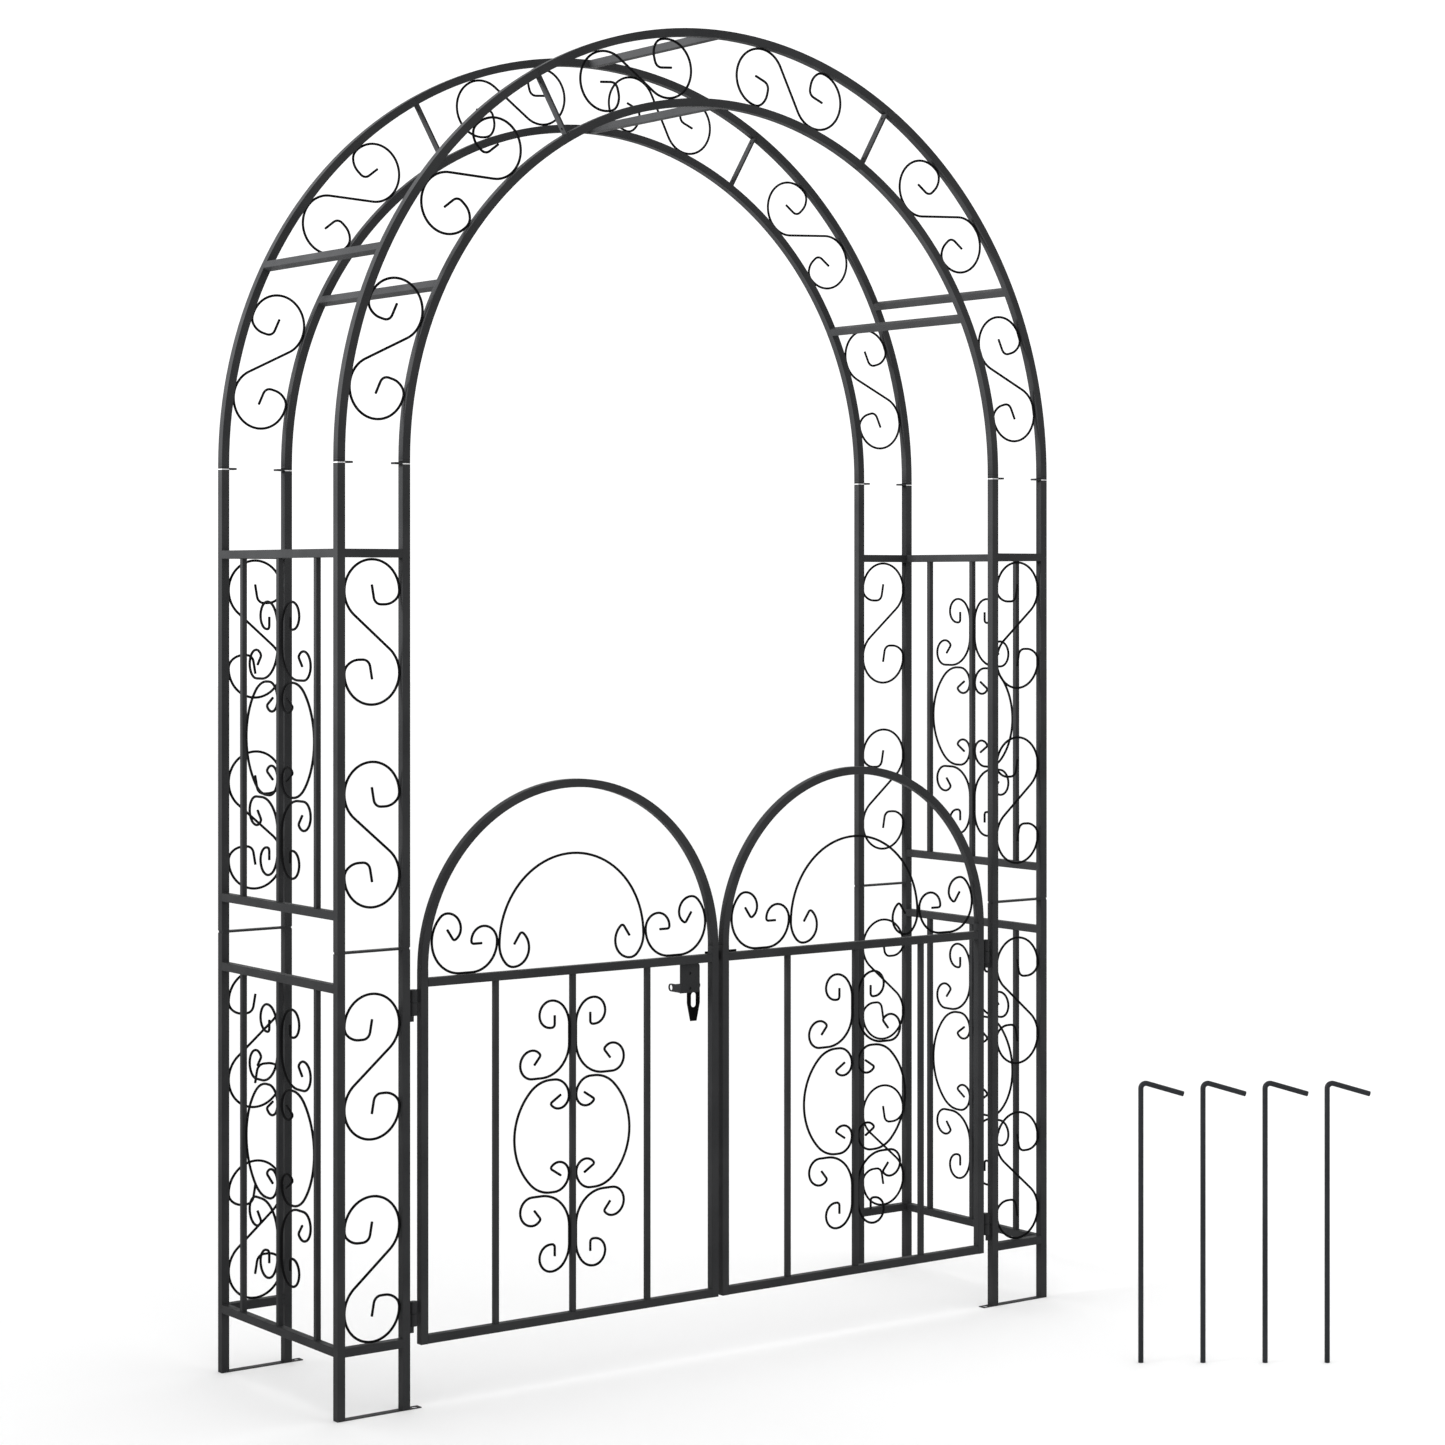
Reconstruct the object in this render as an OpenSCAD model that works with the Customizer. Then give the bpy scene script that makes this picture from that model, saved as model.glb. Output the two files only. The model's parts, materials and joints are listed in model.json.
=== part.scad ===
// Metal garden arch with a pair of gates. Origin: centre of the footprint, at ground level.
// X runs across the walkway to the right, Y runs through it to the rear, Z is up.

/* [Arch] */
// Overall width over the outer posts
arch_w = 1400; // [1200:10:1500]
// Overall depth over the front and rear posts
arch_d = 378; // [340:2:420]
// Side of the square tube
tube = 13; // [12:0.5:14]
// Spacing of the outer and inner post, centre to centre
ladder_w = 111; // [106:1:116]
// Height of the seam between the lower and upper ladders
mid_seam_z = 690; // [680:1:700]
// Height of the seam between the ladders and the arch
top_seam_z = 1415; // [1400:1:1440]
// Angle of each seam in the arch, up from the horizontal
arch_seam = 60; // [56:1:64]
// Angle of the lower pair of crossbars, up from the horizontal
crossbar_angle = 27; // [25:0.5:28]

/* [Panels] */
// Side of the slim vertical bars
slim_bar = 8.5; // [8:0.5:10]
// Spacing of the slim bars in a side panel
side_bar_pitch = 116.5; // [114:0.5:120]
// Underside of the lowest rails
low_rail_z = 94; // [90:1:100]
// Underside of the gate's mid rail and of the lower side panel's top rail
mid_rail_z = 630; // [620:1:640]
// Underside of the upper side panel's bottom rail
upper_rail_z = 738; // [732:1:744]
// Underside of the top rails
top_rail_z = 1274; // [1270:1:1280]

/* [Gates] */
// Half the spacing of a gate's two stiles, centre to centre
gate_half = 270; // [266:1:272]
// Distance from the arch's centre plane to the meeting stile
gate_meet = 10.5; // [10:0.5:12]
// Spacing of the slim bars in a gate
gate_bar_pitch = 141; // [138:1:144]
// Height of the centre of the gate's curved top
gate_spring_z = 656; // [654:1:660]

/* [Wire scrolls] */
// Diameter of the scroll wire
wire = 4; // [3.5:0.5:4.5]

/* [Fixings] */
// Thickness of the foot plates and seam plates
plate = 1.5; // [1:0.25:2]
// Diameter of the stake holes
stake_hole = 9.5; // [9:0.5:11]
// Diameter of the bolt holes in the seam plates
bolt_hole = 4.6; // [4:0.2:5.4]

/* [Hidden] */
$fn = 48;
left = -1;
right = 1;
front = -1;
rear = 1;
steel = "#2f3032";
dark_steel = "#1d1e20";

weld = 0.1;                              // root gap left where two welded pieces meet
half = tube / 2;
outer_x = arch_w / 2 - half;             // centre of the outer posts
inner_x = outer_x - ladder_w;            // centre of the inner posts
frame_y = arch_d / 2 - half;             // centre plane of the front and rear frames
spring_z = top_seam_z + 6.5;             // centre of the arch
mid_r = (outer_x + inner_x) / 2;         // middle of the gap between the arch rails
gap = ladder_w - tube;                   // clear gap between the two posts of a ladder
post_top = top_seam_z - plate;           // top of the upper posts

// ---------------------------------------------------------------- placing
module mirrored_for(side) { if (side == right) mirror([1, 0, 0]) children(); else children(); }
module in_frame(row) { translate([0, row * frame_y, 0]) children(); }
// Turns a drawing in X and Y into one that stands in X and Z, or in Y and Z
module upright() { rotate([90, 0, 0]) children(); }
module upright_side() { rotate([90, 0, 90]) children(); }

// ---------------------------------------------------------------- square tube
module post(x, y, z0, z1, w = tube) { translate([x - w / 2, y - w / 2, z0]) cube([w, w, z1 - z0]); }
module rail_x(x0, x1, z0) { translate([x0 + weld, -half, z0]) cube([x1 - x0 - 2 * weld, tube, tube]); }
module rail_y(x, z0, y1) { translate([x - half, -y1 + weld, z0]) cube([tube, 2 * y1 - 2 * weld, tube]); }
// Square tube bent to a radius in the XZ plane, from angle a0 to a1 up from +X
module bent_tube(r, a0, a1) {
  upright() rotate_extrude(angle = a1 - a0, start = a0, $fn = 180) translate([r, 0]) square(tube, center = true);
}

// ---------------------------------------------------------------- bent wire
// A wire is a list of stretches: [length, 0] is straight, [turn, radius] is a bend, and left turns are
// positive. A pen [x, y, heading] follows it. A slit parts the stretches, and a slimmer core runs across it.
slit = 0.01;
core_l = 1;
wire_fn = 8;
function pen_after(pen, s) = s[1] == 0
  ? [pen[0] + s[0] * cos(pen[2]), pen[1] + s[0] * sin(pen[2]), pen[2]]
  : let (k = sign(s[0]) * s[1], a = pen[2] + s[0])
    [pen[0] + k * (sin(a) - sin(pen[2])), pen[1] - k * (cos(a) - cos(pen[2])), a];
function pens(path, pen, i = 0) =
  i == len(path) ? [] : concat([pen], pens(path, pen_after(pen, path[i]), i + 1));
function flipped(path) = [for (s = path) s[1] == 0 ? s : [-s[0], s[1]]];

module along(pen) { translate([pen[0], pen[1]]) rotate([0, 90, pen[2]]) children(); }
module stretch(pen, s, d) {
  if (s[1] == 0) {
    along(pen) translate([0, 0, slit]) cylinder(d = d, h = s[0] - 2 * slit, $fn = wire_fn);
  } else {
    turn = sign(s[0]);
    cut = slit / s[1] * 180 / PI;
    translate([pen[0] - turn * s[1] * sin(pen[2]), pen[1] + turn * s[1] * cos(pen[2])])
      rotate(pen[2] - turn * 90 + min(s[0], 0) + cut)
        rotate_extrude(angle = abs(s[0]) - 2 * cut, $fn = 96) translate([s[1], 0]) circle(d = d, $fn = wire_fn);
  }
}
module core(pen, d = wire) { along(pen) cylinder(d = 0.8 * d, h = core_l, center = true, $fn = 4); }
module bent_wire(path, pen, d = wire) {
  p = pens(path, pen);
  for (i = [0:len(path) - 1]) stretch(p[i], path[i], d);
  for (i = [1:len(path) - 1]) core(p[i], d);
}
// A wire that runs both ways from one point, along paths drawn from pen a and from pen b
module two_way_wire(path_a, a, path_b, b) {
  bent_wire(path_a, a);
  bent_wire(path_b, b);
  core(a);
}

// S scroll that fills the gap between two posts, centred on the origin
loop_r = (gap - wire) / 2 - 0.2;
loop_y = 61.2;
slant = asin(loop_r / loop_y);           // slant of the middle stretch from the vertical
slant_l = loop_y * cos(slant);
s_half = [[slant_l, 0], [-180 - slant, loop_r], [-45, 17], [-45, 28], [7, 0], [-80, 12], [20, 0]];
module s_scroll(flip = false) {
  mirror([flip ? 1 : 0, 0, 0]) two_way_wire(s_half, [0, 0, slant - 90], s_half, [0, 0, slant + 90]);
}

// Six scrolls about an upright bar, centred on the origin
bar_x = slim_bar / 2 + wire / 2 + 0.1;   // wire centre where a scroll lies against the bar
bar_l = 28;                              // straight stretch along the bar
small_c_y = 141.9;                       // foot of that stretch
small_curl = [[40, 45], [50, 29], [90, 22], [90, 20], [3, 0], [90, 5], [14, 0]];
small_hook = [[bar_l, 0], [90, 51], [17, 0], [180, 22], [50, 18], [80, 3.5], [16, 0]];
module small_c_scroll() {
  y = small_c_y + bar_l;
  two_way_wire(flipped(small_curl), [bar_x, y, 90], small_hook, [bar_x, y, -90]);
}
big_c_half = [[45, 101.5], [45, 51.5], [7, 0], [90, 27], [138, 18.5], [100, 3], [20, 0]];
module big_c_scroll() {
  two_way_wire(big_c_half, [107, 0, 90], flipped(big_c_half), [107, 0, -90]);
}
module ornament() {
  for (m = [0, 1]) mirror([m, 0, 0]) {
    big_c_scroll();
    for (n = [0, 1]) mirror([0, n, 0]) small_c_scroll();
  }
}

// ---------------------------------------------------------------- ladders
module seam_plate(x0, x1, z0, holes) {
  difference() {
    translate([x0, -half, z0]) cube([x1 - x0, tube, plate]);
    for (x = holes) translate([x, 0, z0 - 1]) cylinder(d = bolt_hole, h = plate + 2);
  }
}
seam_inset = 1.3;                        // how far the mid seam's plates stop short of the posts' outer faces
mid_seam_x = [-outer_x - half + seam_inset, -inner_x + half - seam_inset];
tab = 13;                                // length of the tabs at the arch seam, past the post
tab_bolt = half + 7;                     // bolt centre from the post's centre
mid_bolt = 24;                           // bolt centre from the post's centre, in the mid seam
mid_bolts = [-outer_x + mid_bolt, -inner_x - mid_bolt];
tab_bolts = [-outer_x + tab_bolt, -inner_x - tab_bolt];
module lower_ladder(side, row) {
  color(steel) in_frame(row) mirrored_for(side) {
    for (x = [-outer_x, -inner_x]) post(x, 0, plate + weld, mid_seam_z - plate - weld);
    rail_x(-outer_x + half, -inner_x - half, low_rail_z);
    seam_plate(mid_seam_x[0], mid_seam_x[1], mid_seam_z - plate, mid_bolts);
  }
}
module upper_ladder(side, row) {
  color(steel) in_frame(row) mirrored_for(side) {
    for (x = [-outer_x, -inner_x]) post(x, 0, mid_seam_z + weld + plate + weld, post_top - weld);
    rail_x(-outer_x + half, -inner_x - half, top_rail_z);
    seam_plate(mid_seam_x[0], mid_seam_x[1], mid_seam_z + weld, mid_bolts);
    seam_plate(-outer_x - half, -outer_x + half + tab, post_top, [tab_bolts[0]]);
    seam_plate(-inner_x - half - tab, -inner_x + half, post_top, [tab_bolts[1]]);
  }
}
ladder_s_z = [217.3, 518, 862.5, 1163.5];
module ladder_scrolls(side, row) {
  color(dark_steel) in_frame(row) mirrored_for(side)
    for (i = [0:3]) translate([-mid_r, 0, ladder_s_z[i]]) upright() s_scroll(flip = i < 2);
}
foot_past = 20;                          // reach of the foot plate past the inner post
stake_x = inner_x - half - 11;
module foot_plate(side, row) {
  color(steel) in_frame(row) mirrored_for(side) difference() {
    translate([-outer_x - half, -half, 0]) cube([ladder_w + tube + foot_past, tube, plate]);
    translate([-stake_x, 0, -1]) cylinder(d = stake_hole, h = plate + 2);
  }
}

// ---------------------------------------------------------------- side panels
module side_panel(side, z0, z1) {
  color(steel) mirrored_for(side) {
    for (z = [z0, z1]) rail_y(-outer_x, z, frame_y - half);
    for (y = [-side_bar_pitch, 0, side_bar_pitch])
      post(-outer_x, y, z0 + tube + weld, z1 - weld, slim_bar);
  }
}
low_ornament_z = 382.2;
high_ornament_z = 998.5;
module side_ornament(side, z) {
  color(dark_steel) mirrored_for(side) translate([-outer_x, 0, z]) upright_side() ornament();
}

// ---------------------------------------------------------------- arch
radial_bolt = 15.5;                      // bolt centre from the rail's centre, in the seams of the arch
// Radial plate across both rails at angle a, on the side that the turn sense names
module radial_plate(a, sense) {
  upright() rotate(a) translate([inner_x - half, sense < 0 ? -plate - weld / 2 : weld / 2, -half])
    difference() {
      cube([ladder_w + tube, plate, tube]);
      for (x = [radial_bolt, ladder_w - radial_bolt]) translate([half + x, -1, half]) rotate([-90, 0, 0])
        cylinder(d = bolt_hole, h = plate + 2);
    }
}
plate_a = asin((plate + weld / 2 + weld) / inner_x);   // angle that a radial plate takes up
module arch_side(side, row) {
  color(steel) in_frame(row) mirrored_for(side) {
    for (r = [outer_x, inner_x]) {
      translate([0, 0, spring_z]) bent_tube(r, 180 - arch_seam + plate_a, 180);
      post(-r, 0, top_seam_z + weld + plate + weld, spring_z);
    }
    translate([0, 0, spring_z]) radial_plate(180 - arch_seam, 1);
    seam_plate(-outer_x - half, -outer_x + half + tab, top_seam_z + weld, [tab_bolts[0]]);
    seam_plate(-inner_x - half - tab, -inner_x + half, top_seam_z + weld, [tab_bolts[1]]);
  }
}
module arch_top(row) {
  color(steel) in_frame(row) translate([0, 0, spring_z]) {
    for (r = [outer_x, inner_x]) bent_tube(r, arch_seam + plate_a, 180 - arch_seam - plate_a);
    radial_plate(arch_seam, 1);
    radial_plate(180 - arch_seam, -1);
  }
}
arch_s_a = [15, 43, 75.4, 103, 137, 165];
scroll_r = sqrt(mid_r * mid_r - loop_y * loop_y);
module arch_scrolls(row) {
  color(dark_steel) in_frame(row) translate([0, 0, spring_z]) upright()
    for (i = [0:5]) rotate(-arch_s_a[i]) translate([-scroll_r, 0]) s_scroll(flip = i < 4);
}
module crossbars(a) {
  color(steel) translate([0, 0, spring_z]) for (r = [outer_x, inner_x])
    rotate([0, a, 0]) translate([-r - half, -frame_y + half + weld, -half])
      cube([tube, 2 * (frame_y - half - weld), tube]);
}

// ---------------------------------------------------------------- gates
gate_x = gate_meet + gate_half;          // centre of a gate from the arch's centre plane
module gate_frame(side) {
  color(steel) in_frame(front) mirrored_for(side) translate([-gate_x, 0, 0]) {
    for (x = [-gate_half, gate_half]) post(x, 0, low_rail_z, gate_spring_z);
    for (z = [low_rail_z, mid_rail_z]) rail_x(-gate_half + half, gate_half - half, z);
    for (x = [-gate_bar_pitch, 0, gate_bar_pitch]) post(x, 0, low_rail_z + tube + weld, mid_rail_z - weld, slim_bar);
  }
}
module gate_top(side) {
  color(steel) in_frame(front) translate([side * gate_x, 0, gate_spring_z + weld]) bent_tube(gate_half, 0, 180);
}
module gate_ornament(side) {
  color(dark_steel) in_frame(front) translate([side * gate_x, 0, low_ornament_z]) upright() ornament();
}
// Crest over the mid rail, drawn about the gate's centre at the height of the rail's top
crest_r = 134;
crest_y = 174.5;                         // height of the crest's top
side_c_pen = [165.2, 45.6, 0];           // where a side scroll starts
crest_half = [[90, crest_r], [45, 42], [45, 19], [90, 28], [50, 30], [96, 4], [19, 0]];
side_c = [[15, 0], [90, 4], [90, 22], [90, 24], [90, 45], [21, 0], [90, 50], [45, 52], [45, 17], [90, 24],
  [60, 19], [86, 3.5], [18, 0]];
module gate_crest(side) {
  color(dark_steel) in_frame(front) translate([side * gate_x, 0, mid_rail_z + tube]) upright() {
    two_way_wire(flipped(crest_half), [0, crest_y, 0], crest_half, [0, crest_y, 180]);
    for (m = [0, 1]) mirror([m, 0, 0]) bent_wire(side_c, side_c_pen);
  }
}

// ---------------------------------------------------------------- hinges
hinge_x = (inner_x + gate_x + gate_half) / 2;
hinge_pin_d = 6;
knuckle_d = 12;
leaf = 3;
hinge_z = [[113, 123, 141.6, 160], [579, 588, 607.4, 627]];   // foot of leaf, foot, split and top of knuckles
module hinge_pins(side) {
  color(steel) in_frame(front) mirrored_for(side) for (z = hinge_z) {
    translate([-hinge_x, 0, z[1]]) cylinder(d = knuckle_d, h = z[2] - z[1]);
    translate([-hinge_x, 0, z[1]]) cylinder(d = hinge_pin_d, h = z[3] - z[1]);
    translate([-inner_x + half, -leaf / 2, z[0]]) cube([inner_x - half - hinge_x, leaf, z[2] - z[0]]);
  }
}
module hinge_sockets(side) {
  color(steel) in_frame(front) mirrored_for(side) for (z = hinge_z) difference() {
    union() {
      translate([-hinge_x, 0, z[2] + 0.4]) cylinder(d = knuckle_d, h = z[3] - z[2] - 0.4);
      translate([-hinge_x, -leaf / 2, z[2] + 0.4])
        cube([hinge_x - gate_x - gate_half - half, leaf, z[3] - z[2] - 0.4]);
    }
    translate([-hinge_x, 0, z[2]]) cylinder(d = hinge_pin_d + 0.1, h = z[3] - z[2] + 1);
  }
}

// ---------------------------------------------------------------- latch, on the gates' rear face
rod_z = 590;
rod_d = 9.5;
plate_x = [-72.2, -34.2];
plate_y = -frame_y + 3.5;                // front of the latch plate
plate_t = 2;
eye_reach = 27.4;                        // from the plate's front to the rod's axis
rod_y = plate_y + eye_reach;
rod_x = [-62.5, -16.5];
rivet_z = [rod_z, rod_z + 24];
barrel_d = 14;
module along_x(x0) { translate([x0, rod_y, rod_z]) rotate([0, 90, 0]) children(); }
module latch_plate() {
  corner = 6;
  low = rod_z - 7;
  high = mid_rail_z;
  color(steel) translate([0, plate_y + plate_t, 0]) upright() linear_extrude(plate_t) difference() {
    union() {
      translate([plate_x[0], low]) square([plate_x[1] - plate_x[0], high - low - corner]);
      translate([plate_x[0], high - corner - 1]) square([plate_x[1] - plate_x[0] - corner, corner + 1]);
      translate([plate_x[1] - corner, high - corner]) circle(r = corner);
    }
    for (z = rivet_z) translate([(plate_x[0] + plate_x[1]) / 2, z]) circle(d = 4.6);
  }
}
// Bracket on the plate's back: a strap behind both rivets, a cheek with an open eye at the left, a barrel at the right
module latch_guide() {
  x0 = -46;
  x1 = -29.4;
  back = plate_y + plate_t;
  strap_t = 2;
  cheek_t = 2.5;
  cheek_h = 12.5;
  color(steel) difference() {
    union() {
      translate([plate_x[0], back, rod_z - cheek_h / 2]) cube([plate_x[1] - plate_x[0], strap_t, cheek_h]);
      translate([-60, back, rod_z]) cube([14, strap_t, rivet_z[1] - rod_z + 7]);
      translate([x0, back, rod_z - 5]) cube([plate_x[1] - x0, rod_y - back, 10]);
      along_x(x0) cylinder(d = barrel_d, h = x1 - x0);
      translate([plate_x[0], back, rod_z - cheek_h / 2]) cube([cheek_t, eye_reach - plate_t, cheek_h]);
      along_x(plate_x[0]) cylinder(d = cheek_h, h = cheek_t);
    }
    along_x(x0 - 1) cylinder(d = rod_d + 0.1, h = x1 - x0 + 2);
    along_x(plate_x[0] - 1) cylinder(d = rod_d + 0.1, h = cheek_t + 2);
  }
}
module latch_bolt() { color(dark_steel) along_x(rod_x[0]) cylinder(d = rod_d, h = rod_x[1] - rod_x[0]); }
module latch_hasp() {
  ring_x = -29;
  ring_w = 5;
  tongue_x = [-39.8, -14.8];
  mid_x = (tongue_x[0] + tongue_x[1]) / 2;
  top = rod_z - 9.6;
  waist = 562;
  foot = 533;
  slot = [560, 574];                     // centres of the slot's round ends
  color(dark_steel) difference() {
    union() {
      along_x(ring_x) cylinder(d = barrel_d, h = ring_w);
      translate([ring_x, rod_y - 1, top - 1]) cube([ring_w, 2, rod_z - top]);
      translate([0, rod_y + 1, 0]) upright() linear_extrude(2) difference() {
        polygon([[tongue_x[0], top], [tongue_x[0], waist], [mid_x - 6, foot], [mid_x + 6, foot],
          [tongue_x[1], waist], [tongue_x[1], top]]);
        translate([mid_x - 5, slot[0]]) square([10, slot[1] - slot[0]]);
        for (z = slot) translate([mid_x, z]) circle(d = 10);
      }
    }
    along_x(ring_x - 1) cylinder(d = rod_d + 0.1, h = ring_w + 2);
  }
}
module latch_keeper() {
  x0 = 6;
  w = 7;
  color(steel) difference() {
    union() {
      along_x(x0) cylinder(d = barrel_d, h = w);
      translate([x0, -frame_y + half, rod_z - 5]) cube([w, rod_y + frame_y - half, 10]);
    }
    along_x(x0 - 1) cylinder(d = rod_d + 0.6, h = w + 2);
  }
}
lug_reach = [20.5, 41];                  // how far the left and right lugs run from the centre plane
module catch_lug(side) {
  reach = side == left ? lug_reach[0] : lug_reach[1];
  color(dark_steel) mirrored_for(side) translate([-reach, -frame_y + half, mid_rail_z + 1])
    cube([reach - 0.6, 3, 15]);
}

// ---------------------------------------------------------------- ground stakes
stake_d = 8.5;
stake_h = 447;
hook = 60;
hook_drop = 16;
stake_bend = 8;
stake_place = [507, -624];               // foot of the first stake
stake_pitch = 98.5;
stake_turn = -36.3;                      // heading of the row and of the hooks
module stake(i) {
  rise = stake_h - stake_d / 2 - stake_bend;
  color(dark_steel) translate([stake_place[0], stake_place[1], 0]) rotate([0, 0, stake_turn])
    translate([i * stake_pitch, 0, 0]) upright()
      bent_wire([[rise, 0], [-90 - hook_drop, stake_bend], [hook, 0]], [0, 0, 90], stake_d);
}

lower_ladder(left, front);  // front_left_lower_ladder
upper_ladder(left, front);  // front_left_upper_ladder
lower_ladder(right, front);  // front_right_lower_ladder
upper_ladder(right, front);  // front_right_upper_ladder
lower_ladder(left, rear);  // rear_left_lower_ladder
upper_ladder(left, rear);  // rear_left_upper_ladder
lower_ladder(right, rear);  // rear_right_lower_ladder
upper_ladder(right, rear);  // rear_right_upper_ladder
ladder_scrolls(left, front);  // front_left_scrolls
ladder_scrolls(right, front);  // front_right_scrolls
ladder_scrolls(left, rear);  // rear_left_scrolls
ladder_scrolls(right, rear);  // rear_right_scrolls
side_panel(left, low_rail_z, mid_rail_z);  // left_lower_side_panel
side_panel(left, upper_rail_z, top_rail_z);  // left_upper_side_panel
side_panel(right, low_rail_z, mid_rail_z);  // right_lower_side_panel
side_panel(right, upper_rail_z, top_rail_z);  // right_upper_side_panel
side_ornament(left, low_ornament_z);  // left_lower_ornament
side_ornament(left, high_ornament_z);  // left_upper_ornament
side_ornament(right, low_ornament_z);  // right_lower_ornament
side_ornament(right, high_ornament_z);  // right_upper_ornament
arch_side(left, front);  // front_arch_left
arch_top(front);  // front_arch_top
arch_side(right, front);  // front_arch_right
arch_side(left, rear);  // rear_arch_left
arch_top(rear);  // rear_arch_top
arch_side(right, rear);  // rear_arch_right
arch_scrolls(front);  // front_arch_scrolls
arch_scrolls(rear);  // rear_arch_scrolls
crossbars(crossbar_angle);  // left_crossbars
crossbars(90);  // top_crossbars
crossbars(180 - crossbar_angle);  // right_crossbars
foot_plate(left, front);  // front_left_foot
foot_plate(right, front);  // front_right_foot
foot_plate(left, rear);  // rear_left_foot
foot_plate(right, rear);  // rear_right_foot
gate_frame(left);  // left_gate_frame
gate_top(left);  // left_gate_top
gate_ornament(left);  // left_gate_ornament
gate_crest(left);  // left_gate_crest
gate_frame(right);  // right_gate_frame
gate_top(right);  // right_gate_top
gate_ornament(right);  // right_gate_ornament
gate_crest(right);  // right_gate_crest
hinge_pins(left);  // left_hinge_pins
hinge_pins(right);  // right_hinge_pins
hinge_sockets(left);  // left_hinge_sockets
hinge_sockets(right);  // right_hinge_sockets
latch_plate();
latch_guide();
latch_bolt();
latch_hasp();
latch_keeper();
catch_lug(left);  // left_catch_lug
catch_lug(right);  // right_catch_lug
stake(0);  // stake_1
stake(1);  // stake_2
stake(2);  // stake_3
stake(3);  // stake_4
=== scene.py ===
import json
import math

import bmesh
import bpy
from mathutils import Matrix, Vector


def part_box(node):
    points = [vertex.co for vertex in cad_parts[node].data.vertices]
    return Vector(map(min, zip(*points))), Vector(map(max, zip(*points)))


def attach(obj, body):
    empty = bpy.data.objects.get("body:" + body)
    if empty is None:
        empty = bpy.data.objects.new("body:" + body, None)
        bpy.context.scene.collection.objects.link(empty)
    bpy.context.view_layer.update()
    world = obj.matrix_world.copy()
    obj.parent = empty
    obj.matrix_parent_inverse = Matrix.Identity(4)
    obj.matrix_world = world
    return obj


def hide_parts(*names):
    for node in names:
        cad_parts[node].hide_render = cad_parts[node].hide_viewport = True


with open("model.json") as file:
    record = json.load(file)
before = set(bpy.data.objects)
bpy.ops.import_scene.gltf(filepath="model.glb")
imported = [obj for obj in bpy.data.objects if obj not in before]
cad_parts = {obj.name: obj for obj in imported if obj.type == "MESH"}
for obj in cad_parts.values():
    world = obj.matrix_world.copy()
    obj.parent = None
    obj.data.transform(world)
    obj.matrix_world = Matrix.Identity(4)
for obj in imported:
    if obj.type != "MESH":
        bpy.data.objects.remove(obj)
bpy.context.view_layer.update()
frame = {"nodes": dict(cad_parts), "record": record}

# A black garden arch with two gates. Lengths below are in millimetres, and MM turns them into metres.
MM = 0.001
LEFT, RIGHT = -1, 1
FRONT, REAR = -1, 1
SIDE_NAMES = {LEFT: "left", RIGHT: "right"}
ROW_NAMES = {FRONT: "front", REAR: "rear"}
NODE_BODY = {node: body for body, nodes in frame["record"]["behaviour"]["bodies"].items() for node in nodes}
SLOTS = {row["node"]: row["material_slot"] for row in frame["record"]["subparts"]}

# Driving dimensions, worked out from the frame
tube = 13.0
slim_bar = 8.5
wire = 4.0
outer_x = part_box("front_left_foot")[0].x / -MM - tube / 2
frame_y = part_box("rear_left_foot")[1].y / MM - tube / 2
ladder_w = 111.0
inner_x = outer_x - ladder_w
spring_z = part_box("front_arch_top")[1].z / MM - tube / 2 - outer_x
gate_half = 270.0
gate_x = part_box("left_gate_frame")[0].x / -MM - tube / 2 - gate_half
low_rail_z, mid_rail_z, upper_rail_z, top_rail_z = 94, 630, 738, 1274      # undersides of the rails
ornament_z = {"lower": 382.2, "upper": 998.5}
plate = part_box("front_left_foot")[1].z / MM
top_seam_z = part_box("front_left_upper_ladder")[1].z / MM
crossbar_angle = 27.0
slim_pitch = {"side": 116.5, "gate": 141.0}
weld_gap = 0.1
half = tube / 2


# ---------------------------------------------------------------- materials
def new_material(name, roughness, metallic=0.0, specular=0.5):
    """A material with its nodes, its links and its principled shader."""
    material = bpy.data.materials.new(name)
    material.use_nodes = True
    nodes, links = material.node_tree.nodes, material.node_tree.links
    shader = nodes["Principled BSDF"]
    shader.inputs["Roughness"].default_value = roughness
    shader.inputs["Metallic"].default_value = metallic
    shader.inputs["Specular IOR Level"].default_value = specular
    return material, nodes, links, shader


def noise(nodes, links, scale, detail, stretch=None):
    """Noise over the piece's own coordinates, in cells per metre."""
    coordinates = nodes.new("ShaderNodeTexCoord")
    texture = nodes.new("ShaderNodeTexNoise")
    texture.inputs["Scale"].default_value = scale
    texture.inputs["Detail"].default_value = detail
    if stretch:
        mapping = nodes.new("ShaderNodeMapping")
        mapping.inputs["Scale"].default_value = stretch
        links.new(coordinates.outputs["Object"], mapping.inputs["Vector"])
        links.new(mapping.outputs["Vector"], texture.inputs["Vector"])
    else:
        links.new(coordinates.outputs["Object"], texture.inputs["Vector"])
    return texture.outputs["Fac"]


def ramp(nodes, links, factor, stops):
    """A colour ramp over factor. stops are (position, colour)."""
    node = nodes.new("ShaderNodeValToRGB")
    elements = node.color_ramp.elements
    while len(elements) < len(stops):
        elements.new(0.5)
    for element, (position, colour) in zip(elements, stops):
        element.position = position
        element.color = (*colour, 1)
    links.new(factor, node.inputs["Fac"])
    return node.outputs["Color"]


def spread(nodes, links, factor, low, high):
    """factor from 0.3 to 0.7, spread over low to high."""
    node = nodes.new("ShaderNodeMapRange")
    for socket, value in (("From Min", 0.3), ("From Max", 0.7), ("To Min", low), ("To Max", high)):
        node.inputs[socket].default_value = value
    links.new(factor, node.inputs["Value"])
    return node.outputs["Result"]


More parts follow.
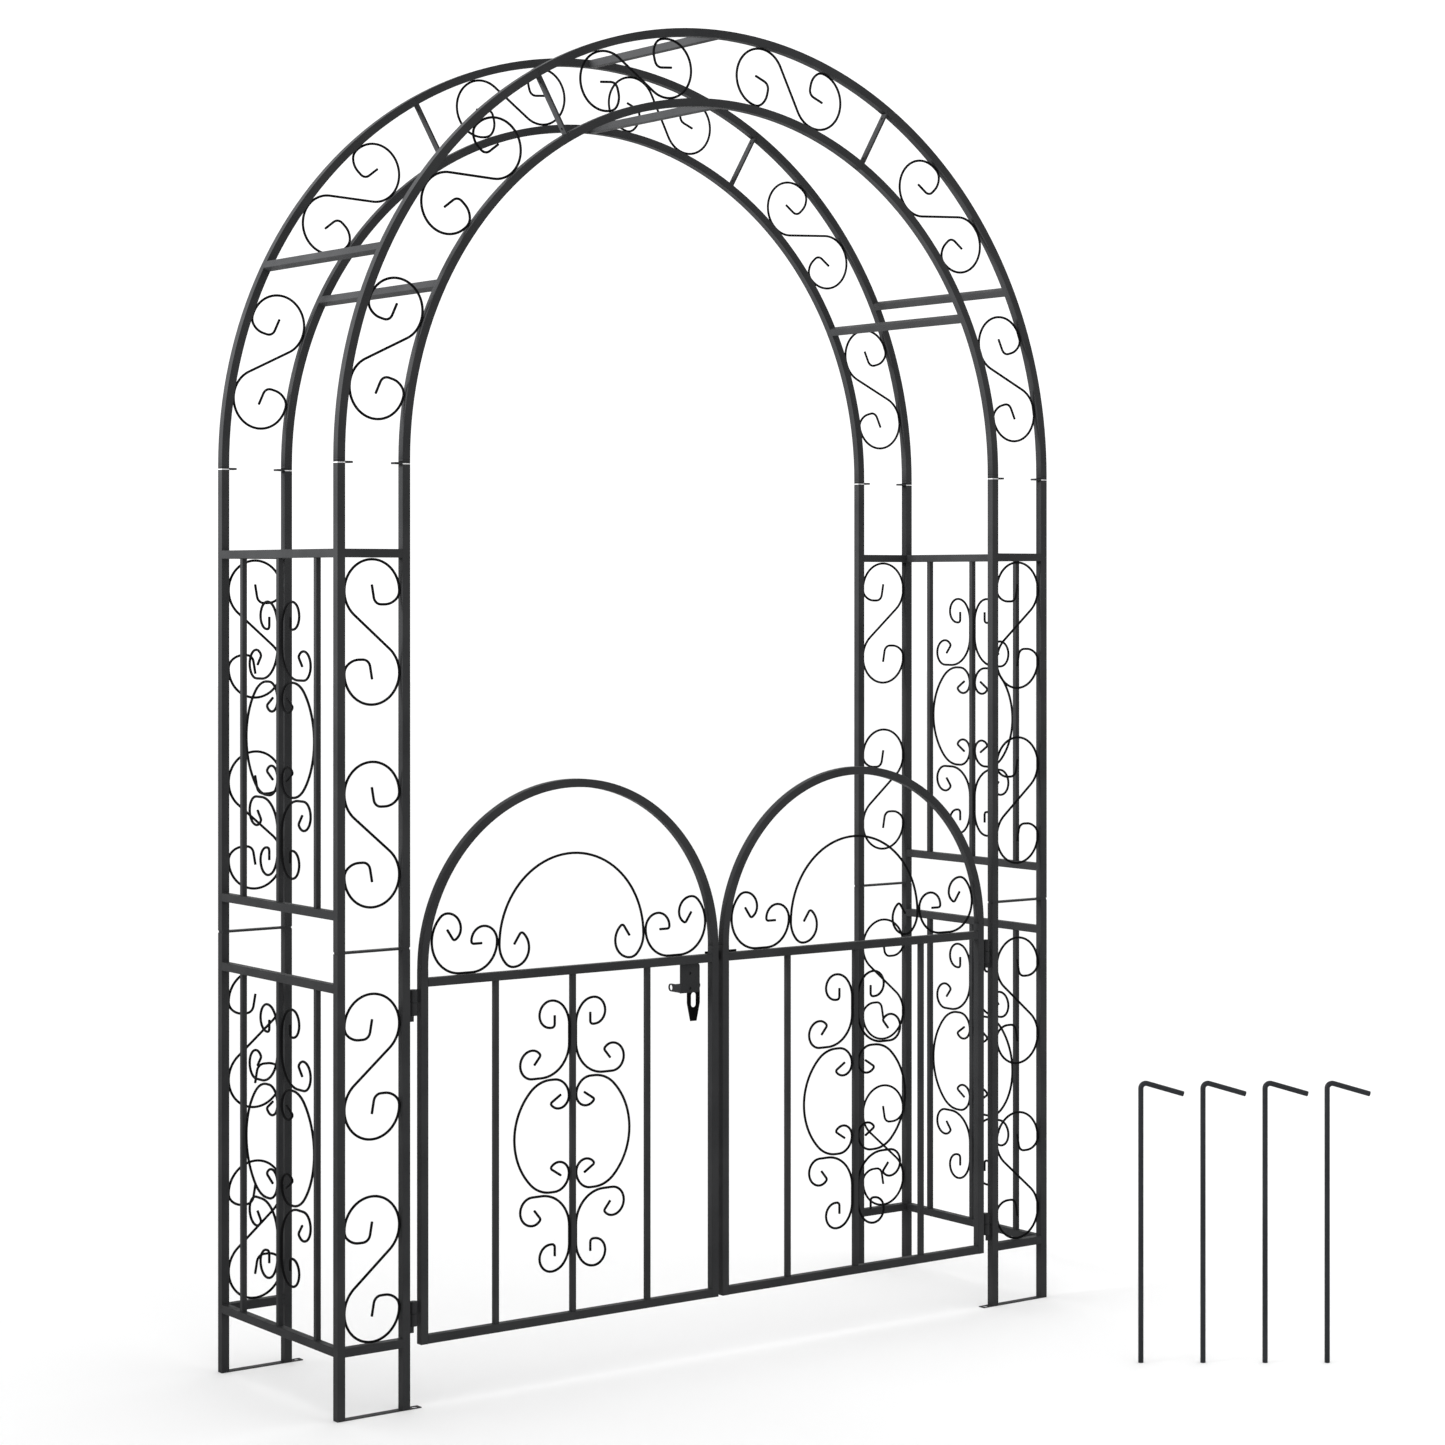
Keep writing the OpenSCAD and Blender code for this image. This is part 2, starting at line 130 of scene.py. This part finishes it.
def add_bump(nodes, links, shader, layers):
    """Stacked bumps. layers are (height, strength, distance in metres)."""
    normal = None
    for height, strength, distance in layers:
        bump = nodes.new("ShaderNodeBump")
        bump.inputs["Strength"].default_value = strength
        bump.inputs["Distance"].default_value = distance
        links.new(height, bump.inputs["Height"])
        if normal:
            links.new(normal, bump.inputs["Normal"])
        normal = bump.outputs["Normal"]
    links.new(normal, shader.inputs["Normal"])


def blended(nodes, links, factor, low, high):
    """low where factor is 0 and high where it is 1."""
    node = nodes.new("ShaderNodeMix")
    node.data_type = "RGBA"
    links.new(factor, node.inputs["Factor"])
    links.new(low, node.inputs["A"])
    links.new(high, node.inputs["B"])
    return node.outputs["Result"]


def powder_coat(name, dark, light, speck, roughness, specular):
    """Satin powder coat: fine orange peel, cloudy tone, tiny lighter specks and a few dull patches."""
    material, nodes, links, shader = new_material(name, roughness, specular=specular)
    cloud = noise(nodes, links, 14, 3)
    grain = noise(nodes, links, 1500, 2)
    body = ramp(nodes, links, cloud, [(0.35, dark), (0.68, light)])
    flecks = ramp(nodes, links, grain, [(0.60, (0, 0, 0)), (0.74, (1, 1, 1))])
    fleck_colour = ramp(nodes, links, cloud, [(0.3, speck), (0.8, light)])
    links.new(blended(nodes, links, flecks, body, fleck_colour), shader.inputs["Base Color"])
    patch = noise(nodes, links, 45, 4)
    links.new(spread(nodes, links, patch, roughness - 0.06, roughness + 0.09), shader.inputs["Roughness"])
    peel = noise(nodes, links, 620, 2)
    add_bump(nodes, links, shader, [(peel, 0.35, 0.00012), (grain, 0.25, 0.00003)])
    return material


def painted_highlight_steel(name):
    """Painted highlight at the ladder seams: bright steel, with fine streaks and a little grey film."""
    material, nodes, links, shader = new_material(name, 0.4, metallic=0.6)
    film = noise(nodes, links, 260, 4)
    colour = ramp(nodes, links, film, [(0.35, (0.42, 0.42, 0.43)), (0.70, (0.78, 0.78, 0.77))])
    links.new(colour, shader.inputs["Base Color"])
    streaks = noise(nodes, links, 1400, 2, stretch=(1, 1, 0.1))
    links.new(spread(nodes, links, streaks, 0.32, 0.55), shader.inputs["Roughness"])
    add_bump(nodes, links, shader, [(streaks, 0.3, 0.00005)])
    return material


def painted_floor(name):
    """Plain pale floor with a trace of mottling."""
    material, nodes, links, shader = new_material(name, 0.9, specular=0.1)
    cloud = noise(nodes, links, 0.8, 2)
    links.new(ramp(nodes, links, cloud, [(0.3, (0.90, 0.90, 0.90)), (0.7, (0.93, 0.93, 0.93))]),
              shader.inputs["Base Color"])
    return material


MATERIALS = {
    "frame": powder_coat("frame_powder_coat", (0.0225, 0.0230, 0.0240), (0.0300, 0.0305, 0.0315),
                         (0.050, 0.051, 0.053), 0.50, 0.05),
    # nearly black scroll coat; it also serves as painted shade on the latch hasp and catch lugs
    "scrolls": powder_coat("scroll_coat_and_painted_shade", (0.0030, 0.0030, 0.0033), (0.0048, 0.0048, 0.0052),
                           (0.014, 0.014, 0.015), 0.55, 0.02),
    "hinges": powder_coat("hinge_powder_coat", (0.0155, 0.0158, 0.0165), (0.0215, 0.0220, 0.0230),
                          (0.050, 0.051, 0.053), 0.46, 0.08),
    "latch": powder_coat("latch_powder_coat", (0.0205, 0.0210, 0.0220), (0.0265, 0.0270, 0.0280),
                         (0.050, 0.051, 0.053), 0.48, 0.06),
    "stakes": powder_coat("stake_paint", (0.0075, 0.0085, 0.0105), (0.0150, 0.0168, 0.0200),
                          (0.060, 0.066, 0.076), 0.5, 0.20),
}
# painted highlight: a bright steel finish that paints the light line at the ladder seams
SEAM_HIGHLIGHT = painted_highlight_steel("seam_painted_highlight")
PAINTED_SHADE_NODES = {"latch_hasp", "left_catch_lug", "right_catch_lug"}      # painted shade: nearly black coat for parts that sit in the gate's shade


# ---------------------------------------------------------------- pieces
def finished(piece, node, replaces=True):
    """Gives a piece its material, body and slot, from the node that it stands for or belongs to."""
    piece.data.materials.clear()
    # the latch hasp and catch lugs take the nearly black scroll coat as painted shade
    piece.data.materials.append(MATERIALS["scrolls" if node in PAINTED_SHADE_NODES else SLOTS[node]])
    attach(piece, NODE_BODY[node])
    if replaces:
        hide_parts(node)
    return piece


def piece_from(mesh, name):
    """A shown object with the bmesh's shape, smooth shaded."""
    data = bpy.data.meshes.new(name)
    bmesh.ops.recalc_face_normals(mesh, faces=mesh.faces)
    mesh.to_mesh(data)
    mesh.free()
    data.shade_smooth()
    piece = bpy.data.objects.new(name, data)
    bpy.context.scene.collection.objects.link(piece)
    return piece


def is_tube_end(face):
    """Whether a face is the square end of a tube or a bar, which is welded and ground flush."""
    lengths = [edge.calc_length() / MM for edge in face.edges]
    return len(lengths) == 4 and any(max(abs(length - width) for length in lengths) < 0.05
                                     for width in (tube, slim_bar))


def softened(node, radius, segments=2, cuts=()):
    """The node's own shape with flat facets merged and edges rounded, as on drawn tube and cut plate.
    cuts are places along X where long faces are parted, so that each part can have its own material, such
    as the painted seam highlight."""
    mesh = bmesh.new()
    mesh.from_mesh(frame["nodes"][node].data)
    bmesh.ops.remove_doubles(mesh, verts=mesh.verts, dist=1e-6)
    bmesh.ops.dissolve_limit(mesh, angle_limit=math.radians(0.3), verts=mesh.verts, edges=mesh.edges)
    flush = {edge for face in mesh.faces if is_tube_end(face) for edge in face.edges}
    sharp = [edge for edge in mesh.edges if edge not in flush and len(edge.link_faces) == 2
             and edge.calc_face_angle(0) > math.radians(35)]
    bmesh.ops.bevel(mesh, geom=sharp, offset=radius * MM, segments=segments, profile=0.5, affect="EDGES",
                    clamp_overlap=True)
    for x in cuts:
        everything = mesh.verts[:] + mesh.edges[:] + mesh.faces[:]
        bmesh.ops.bisect_plane(mesh, geom=everything, plane_co=(x * MM, 0, 0), plane_no=(1, 0, 0))
    piece = piece_from(mesh, node + "_shell")
    weighted = piece.modifiers.new("weighted", "WEIGHTED_NORMAL")
    weighted.keep_sharp = False
    weighted.weight = 100
    return finished(piece, node)


# ---------------------------------------------------------------- bent wire
# A path is a list of (length, 0) straights and (turn, radius) bends, with left turns positive.
def walked(path, pen, step=4.0):
    """Points [u, v] along a path that starts at pen (u, v, heading in degrees)."""
    u, v, heading = pen
    points = [Vector((u, v))]
    for amount, radius in path:
        if radius == 0:
            count = max(1, round(amount / 12))
            turn = 0.0
        else:
            count = max(3, math.ceil(abs(amount) / max(4.0, math.degrees(step / radius))))
            turn = amount
        for i in range(count):
            piece_turn = turn / count
            if radius == 0:
                length = amount / count
            else:
                length = 2 * radius * math.sin(math.radians(abs(piece_turn)) / 2)
            heading += piece_turn / 2
            points.append(points[-1] + length * Vector((math.cos(math.radians(heading)),
                                                        math.sin(math.radians(heading)))))
            heading += piece_turn / 2
    return points


def swept(mesh, points, radius, sides=14, normal=Vector((0, 1, 0)), tip=0.5):
    """Sweeps a round rod along 3-D points in one plane, with chamfered ends, all in metres."""
    rings = []
    last = len(points) - 1
    stations = [(points[0], radius - tip * MM)]
    first_step = (points[1] - points[0]).normalized()
    last_step = (points[last] - points[last - 1]).normalized()
    stations.append((points[0] + first_step * tip * MM, radius))
    stations += [(point, radius) for point in points[1:-1]]
    stations.append((points[last] - last_step * tip * MM, radius))
    stations.append((points[last], radius - tip * MM))
    for i, (point, ring_radius) in enumerate(stations):
        before = stations[max(i - 1, 0)][0]
        after = stations[min(i + 1, len(stations) - 1)][0]
        along = (after - before).normalized()
        across = along.cross(normal).normalized()
        ring = []
        for k in range(sides):
            angle = 2 * math.pi * k / sides
            offset = math.cos(angle) * across + math.sin(angle) * normal
            ring.append(mesh.verts.new(point + ring_radius * offset))
        rings.append(ring)
    for a, b in zip(rings, rings[1:]):
        for k in range(sides):
            mesh.faces.new((a[k], a[(k + 1) % sides], b[(k + 1) % sides], b[k]))
    mesh.faces.new(rings[0])
    mesh.faces.new(rings[-1][::-1])


gap = ladder_w - tube
loop_r = (gap - wire) / 2 - 0.2
loop_y = 61.2
slant = math.degrees(math.asin(loop_r / loop_y))
slant_l = loop_y * math.cos(math.radians(slant))
S_HALF = [(slant_l, 0), (-180 - slant, loop_r), (-45, 17), (-45, 28), (7, 0), (-80, 12), (20, 0)]

bar_x = slim_bar / 2 + wire / 2 + 0.1
bar_l = 28
small_c_y = 141.9
SMALL_CURL = [(40, 45), (50, 29), (90, 22), (90, 20), (3, 0), (90, 5), (14, 0)]
SMALL_HOOK = [(bar_l, 0), (90, 51), (17, 0), (180, 22), (50, 18), (80, 3.5), (16, 0)]
BIG_C_HALF = [(45, 101.5), (45, 51.5), (7, 0), (90, 27), (138, 18.5), (100, 3), (20, 0)]
crest_y = 174.5
CREST_HALF = [(90, 134), (45, 42), (45, 19), (90, 28), (50, 30), (96, 4), (19, 0)]
SIDE_C = [(15, 0), (90, 4), (90, 22), (90, 24), (90, 45), (21, 0), (90, 50), (45, 52), (45, 17), (90, 24),
          (60, 19), (86, 3.5), (18, 0)]


def flipped(path):
    return [(amount, 0) if radius == 0 else (-amount, radius) for amount, radius in path]


def joined(back, ahead, pen):
    """One wire that runs both ways from pen: back starts at the turned pen, and ahead at pen."""
    turned = (pen[0], pen[1], pen[2] + 180)
    return walked(back, turned)[:0:-1] + walked(ahead, pen)


def s_scroll(flip):
    wire_line = joined(S_HALF, S_HALF, (0, 0, slant - 90))
    return [Vector((-p.x, p.y)) for p in wire_line] if flip else wire_line


def ornament_wires():
    """The six wires about an upright bar."""
    hook_side = joined(flipped(SMALL_CURL), SMALL_HOOK, (bar_x, small_c_y + bar_l, -90))
    big_c = joined(flipped(BIG_C_HALF), BIG_C_HALF, (107, 0, 90))
    wires = []
    for m in (1, -1):
        wires.append([Vector((m * p.x, p.y)) for p in big_c])
        for n in (1, -1):
            wires.append([Vector((m * p.x, n * p.y)) for p in hook_side])
    return wires


def crest_wires():
    """The big C over the mid rail and the two side scrolls."""
    wires = [joined(CREST_HALF, flipped(CREST_HALF), (0, crest_y, 0))]
    side_scroll = walked(SIDE_C, (165.2, 45.6, 0))
    wires.append(side_scroll)
    wires.append([Vector((-p.x, p.y)) for p in side_scroll])
    return wires


def wire_piece(node, wires, place, normal):
    """All of a node's wires as one piece. place turns [u, v] in millimetres into a point in metres."""
    mesh = bmesh.new()
    for line in wires:
        swept(mesh, [place(p) for p in line], wire / 2 * MM, normal=normal)
    return finished(piece_from(mesh, node + "_wires"), node)


def in_frame_plane(row, x, z, turn=0.0, mirror=1):
    """Places [u, v] in the front or rear frame about (x, z), turned clockwise by turn degrees."""
    spin = Matrix.Rotation(math.radians(-turn), 2)

    def place(p):
        q = spin @ p
        return Vector(((x + q.x) * mirror * MM, row * frame_y * MM, (z + q.y) * MM))
    return place


def in_side_plane(side, z):
    return lambda p: Vector((side * outer_x * MM, p.x * MM, (z + p.y) * MM))


ladder_s_z = (217.3, 518, 862.5, 1163.5)
arch_s_angles = (15, 43, 75.4, 103, 137, 165)
mid_r = (outer_x + inner_x) / 2
scroll_r = math.sqrt(mid_r ** 2 - loop_y ** 2)
FRAME_NORMAL = Vector((0, 1, 0))
SIDE_NORMAL = Vector((1, 0, 0))


def build_scrolls():
    for row in (FRONT, REAR):
        for side in (LEFT, RIGHT):
            mesh = bmesh.new()
            for i, z in enumerate(ladder_s_z):
                place = in_frame_plane(row, -mid_r, z, mirror=-side)
                swept(mesh, [place(p) for p in s_scroll(i < 2)], wire / 2 * MM, normal=FRAME_NORMAL)
            node = f"{ROW_NAMES[row]}_{SIDE_NAMES[side]}_scrolls"
            finished(piece_from(mesh, node + "_wires"), node)
        mesh = bmesh.new()
        for i, angle in enumerate(arch_s_angles):
            spin = Matrix.Rotation(math.radians(-angle), 2)
            line = [spin @ (p + Vector((-scroll_r, 0))) for p in s_scroll(i < 4)]
            place = in_frame_plane(row, 0, spring_z)
            swept(mesh, [place(p) for p in line], wire / 2 * MM, normal=FRAME_NORMAL)
        node = ROW_NAMES[row] + "_arch_scrolls"
        finished(piece_from(mesh, node + "_wires"), node)
    for side in (LEFT, RIGHT):
        name = SIDE_NAMES[side]
        for level, z in ornament_z.items():
            wire_piece(f"{name}_{level}_ornament", ornament_wires(), in_side_plane(side, z), SIDE_NORMAL)
        centre = side * gate_x
        wire_piece(name + "_gate_ornament", ornament_wires(),
                   in_frame_plane(FRONT, centre, ornament_z["lower"]), FRAME_NORMAL)
        wire_piece(name + "_gate_crest", crest_wires(),
                   in_frame_plane(FRONT, centre, mid_rail_z + tube), FRAME_NORMAL)


# ---------------------------------------------------------------- ground stakes
stake_d = 8.5
stake_h = 447.0
stake_bend = 8.0
STAKE_PATH = [(stake_h - stake_d / 2 - stake_bend, 0), (-106, stake_bend), (60, 0)]
stake_place = Vector((507.0, -624.0, 0.0))
stake_pitch = 98.5
stake_turn = Matrix.Rotation(math.radians(-36.3), 3, "Z")


def build_stakes():
    line = walked(STAKE_PATH, (0, 0, 90), step=1.5)
    for i in range(4):
        mesh = bmesh.new()
        points = [(stake_place + stake_turn @ Vector((i * stake_pitch + p.x, 0, p.y))) * MM for p in line]
        swept(mesh, points, stake_d / 2 * MM, sides=24, normal=stake_turn @ FRAME_NORMAL, tip=0.6)
        node = f"stake_{i + 1}"
        finished(piece_from(mesh, node + "_rod"), node)


# ---------------------------------------------------------------- weld beads
def bead(mesh, start, end, radius, sides=8):
    """A rippled weld bead from start to end, thinner at its ends, in metres."""
    along = end - start
    count = max(6, round(along.length / (0.9 * MM)))
    across = along.cross(Vector((0.31, 0.52, 0.79))).normalized()
    other = along.normalized().cross(across)
    rings = []
    for i in range(count + 1):
        t = i / count
        ripple = 1 + 0.10 * math.sin(i * 2.1) + 0.05 * math.sin(i * 5.3 + 1)
        swell = max(0.12, 1 - abs(2 * t - 1) ** 6) * ripple
        ring = []
        for k in range(sides):
            angle = 2 * math.pi * k / sides
            offset = math.cos(angle) * across + math.sin(angle) * other
            ring.append(mesh.verts.new(start + along * t + offset * radius * swell))
        rings.append(ring)
    for a, b in zip(rings, rings[1:]):
        for k in range(sides):
            mesh.faces.new((a[k], a[(k + 1) % sides], b[(k + 1) % sides], b[k]))
    mesh.faces.new(rings[0])
    mesh.faces.new(rings[-1][::-1])


class Welds:
    """Collects the beads of one node and turns them into one piece. Ends and radii are in millimetres."""
    def __init__(self, node):
        self.node = node
        self.mesh = bmesh.new()

    def add(self, start, end, radius=1.1):
        bead(self.mesh, Vector(start) * MM, Vector(end) * MM, radius * MM)

    def finish(self):
        finished(piece_from(self.mesh, self.node + "_welds"), self.node, replaces=False)


def rail_ends_x(welds, x0, x1, y, z):
    """Beads over and under both ends of a rail that runs from x0 to x1, with its underside at z."""
    for x in (x0, x1):
        for edge in (z, z + tube):
            welds.add((x, y - half + RAIL_BEAD_INSET, edge), (x, y + half - RAIL_BEAD_INSET, edge))


def bar_ends(welds, place, z0, z1, width, along_y):
    """Beads on two sides of both ends of an upright bar at place (x, y)."""
    x, y = place
    w = width / 2
    for z in (z0, z1):
        for side in (-w, w):
            if along_y:
                welds.add((x - w + 0.8, y + side, z), (x + w - 0.8, y + side, z), 0.9)
            else:
                welds.add((x + side, y - w + 0.8, z), (x + side, y + w - 0.8, z), 0.9)


HINGE_PIN_WELDS = ((114, 140), (580, 606))          # from and to height of the beads at the hinge leaves
HINGE_SOCKET_WELDS = ((143, 159), (609, 626))
LEAF_FACE = 1.5                                     # half the thickness of a hinge leaf
RAIL_BEAD_INSET = 1.5                               # how far a bead stops short of a tube's corners


def build_welds():
    for side in (LEFT, RIGHT):
        name = SIDE_NAMES[side]
        for row in (FRONT, REAR):
            y = row * frame_y
            inner_faces = sorted((side * (outer_x - half), side * (inner_x + half)))
            for level, z in (("lower", low_rail_z), ("upper", top_rail_z)):
                welds = Welds(f"{ROW_NAMES[row]}_{name}_{level}_ladder")
                rail_ends_x(welds, *inner_faces, y, z)
                welds.finish()
            welds = Welds(f"{ROW_NAMES[row]}_{name}_foot")
            for x in (inner_faces[0], inner_faces[1], side * (inner_x - half)):
                welds.add((x, y - half + 1, plate + 0.3), (x, y + half - 1, plate + 0.3), 1.0)
            welds.finish()
        for level, low, high in (("lower", low_rail_z, mid_rail_z), ("upper", upper_rail_z, top_rail_z)):
            welds = Welds(f"{name}_{level}_side_panel")
            x = side * outer_x
            for z in (low, high):
                for y in (-frame_y + half, frame_y - half):
                    for edge in (z, z + tube):
                        welds.add((x - half + RAIL_BEAD_INSET, y, edge),
                                  (x + half - RAIL_BEAD_INSET, y, edge))
            for i in (-1, 0, 1):
                bar_ends(welds, (x, i * slim_pitch["side"]), low + tube, high, slim_bar, along_y=True)
            welds.finish()
        welds = Welds(name + "_gate_frame")
        centre = side * gate_x
        for z in (low_rail_z, mid_rail_z):
            rail_ends_x(welds, centre - gate_half + half, centre + gate_half - half, -frame_y, z)
        for i in (-1, 0, 1):
            bar_ends(welds, (centre + i * slim_pitch["gate"], -frame_y), low_rail_z + tube, mid_rail_z,
                     slim_bar, along_y=False)
        welds.finish()
        welds = Welds(name + "_hinge_pins")
        x = side * (inner_x - half)
        for z0, z1 in HINGE_PIN_WELDS:
            welds.add((x, -frame_y - LEAF_FACE, z0), (x, -frame_y - LEAF_FACE, z1), 0.9)
        welds.finish()
        welds = Welds(name + "_hinge_sockets")
        x = side * (gate_x + gate_half + half)
        for z0, z1 in HINGE_SOCKET_WELDS:
            welds.add((x, -frame_y - LEAF_FACE, z0), (x, -frame_y - LEAF_FACE, z1), 0.9)
        welds.finish()
    for node, angle in (("left", crossbar_angle), ("top", 90), ("right", 180 - crossbar_angle)):
        welds = Welds(node + "_crossbars")
        out = Vector((-math.cos(math.radians(angle)), 0, math.sin(math.radians(angle))))
        around = Vector((out.z, 0, -out.x))
        reach = out * (half - RAIL_BEAD_INSET)
        for r in (outer_x, inner_x):
            for row in (FRONT, REAR):
                for edge in (-half, half):
                    middle = Vector((0, row * (frame_y - half), spring_z)) + out * r + around * edge
                    welds.add(middle - reach, middle + reach)
        welds.finish()


# ---------------------------------------------------------------- tubes and plates
TUBE_EDGE = 1.3                          # outer corner radius of the drawn square tube
BAR_EDGE = 0.9
PLATE_EDGE = 0.35
FITTING_EDGE = 0.4
POST_FACES = [side * x for side in (LEFT, RIGHT) for x in (outer_x - half, inner_x + half)]


def edge_radius(node):
    if node.startswith("latch") or "hinge" in node or "lug" in node:
        return FITTING_EDGE
    if node.endswith("foot"):
        return PLATE_EDGE
    if "panel" in node or "gate_frame" in node:
        return BAR_EDGE
    return TUBE_EDGE


def paint_seam_highlight(piece):
    """Paints a highlight in bright steel on the plate edges at the head of a ladder, where they pass the
    posts.
    """
    piece.data.materials.append(SEAM_HIGHLIGHT)
    low, high = (top_seam_z - plate - weld_gap) * MM, (top_seam_z + weld_gap) * MM
    for polygon in piece.data.polygons:
        past_post = min(abs(abs(polygon.center.x) / MM - x) for x in (outer_x, inner_x))
        if low < polygon.center.z < high and abs(polygon.normal.z) < 0.9 and past_post < half + 0.1:
            polygon.material_index = 1


def build_shells():
    for node in sorted(frame["nodes"]):
        if node.endswith(("_scrolls", "_ornament", "_crest")) or node.startswith("stake"):
            continue
        if node.endswith("upper_ladder"):
            # the seam plates' edges get the painted highlight
            paint_seam_highlight(softened(node, edge_radius(node), cuts=POST_FACES))
        else:
            softened(node, edge_radius(node))


build_scrolls()
build_stakes()
build_welds()
build_shells()


# ---------------------------------------------------------------- floor, light and camera
def add_floor():
    mesh = bmesh.new()
    bmesh.ops.create_grid(mesh, x_segments=2, y_segments=2, size=30)
    floor = piece_from(mesh, "floor")
    floor.data.materials.append(painted_floor("pale_floor"))


def add_area_light(name, place, target, size, power, spread_angle):
    light = bpy.data.lights.new(name, "AREA")
    light.spread = math.radians(spread_angle)
    light.shape = "RECTANGLE"
    light.size, light.size_y = size
    light.energy = power
    lamp = bpy.data.objects.new(name, light)
    lamp.location = place
    lamp.rotation_euler = (Vector(target) - Vector(place)).to_track_quat("-Z", "Y").to_euler()
    bpy.context.scene.collection.objects.link(lamp)


def add_camera():
    """The photograph's view: level, 36.3 degrees right of straight on, with the frame shifted down."""
    data = bpy.data.cameras.new("camera")
    data.sensor_width = 36
    data.lens = 79.76
    data.shift_y = -0.0966
    data.clip_end = 200
    camera = bpy.data.objects.new("camera", data)
    camera.location = (-3.0348, -4.3215, 1.2363)
    camera.rotation_euler = (math.radians(90), 0, math.radians(-36.323))
    bpy.context.scene.collection.objects.link(camera)
    bpy.context.scene.camera = camera


def add_world():
    world = bpy.data.worlds.new("studio")
    world.use_nodes = True
    background = world.node_tree.nodes["Background"]
    background.inputs["Color"].default_value = (1, 1, 1, 1)
    background.inputs["Strength"].default_value = 1.15
    bpy.context.scene.world = world
    bpy.context.scene.view_settings.view_transform = "Standard"


add_floor()
add_world()
add_area_light("key", (-4.0, 0.6, 2.4), (-0.7, 0, 2.4), (1.5, 1.1), 66, 58)
add_camera()
